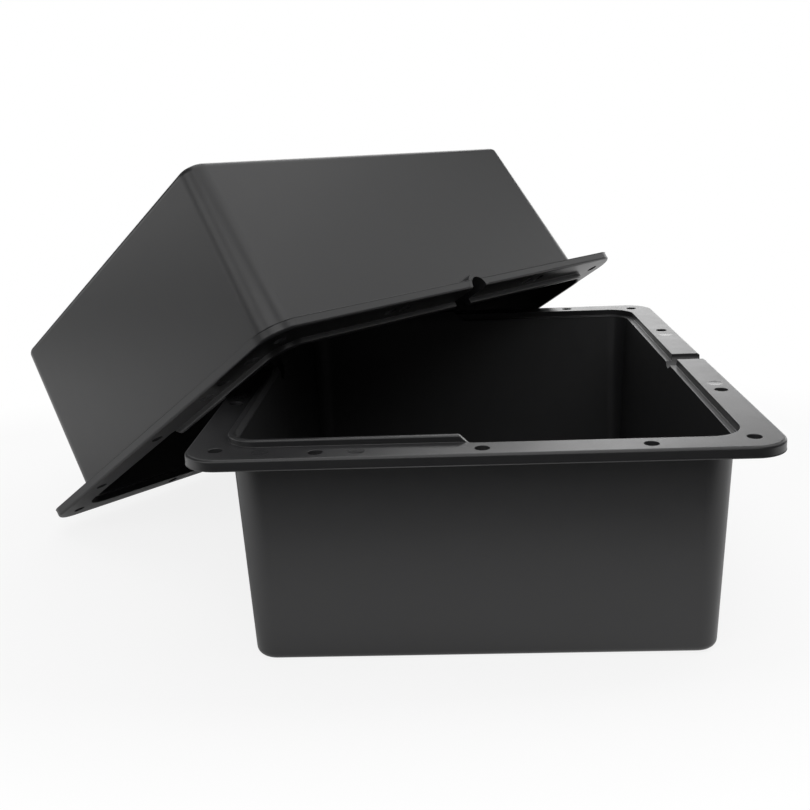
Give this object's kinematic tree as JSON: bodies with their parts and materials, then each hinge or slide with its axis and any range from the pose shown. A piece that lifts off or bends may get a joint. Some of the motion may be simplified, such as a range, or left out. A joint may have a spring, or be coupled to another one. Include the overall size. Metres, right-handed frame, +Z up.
{
  "type": "battery storage case",
  "caption": "Deep rectangular tub with a bolting flange, and a second one turned over as its lid, lifted off and leaning on it. The flanges key together and pass cables.",
  "frame": {"origin": "centre of the tub's width and of its flange's length, on the flat underside that the base rests on", "axes": "+X along the short sides, towards the side whose flange carries the rebate; +Y along the long sides, towards the short wall that leans more; +Z up, out of the base's mouth"},
  "size_m": [0.5394, 0.5713, 0.2942],
  "materials": {
    "moulded_plastic": "dark grey injection-moulded plastic, satin, very fine grain"
  },
  "bodies": {
    "base": {"case_base": "moulded_plastic"},
    "lid": {"case_lid": "moulded_plastic"}
  },
  "joints": [
    {"name": "lid_lift", "type": "slide", "parent": "base", "child": "lid", "axis": [0, 0, 1], "range_m": [0, 0.2]}
  ]
}
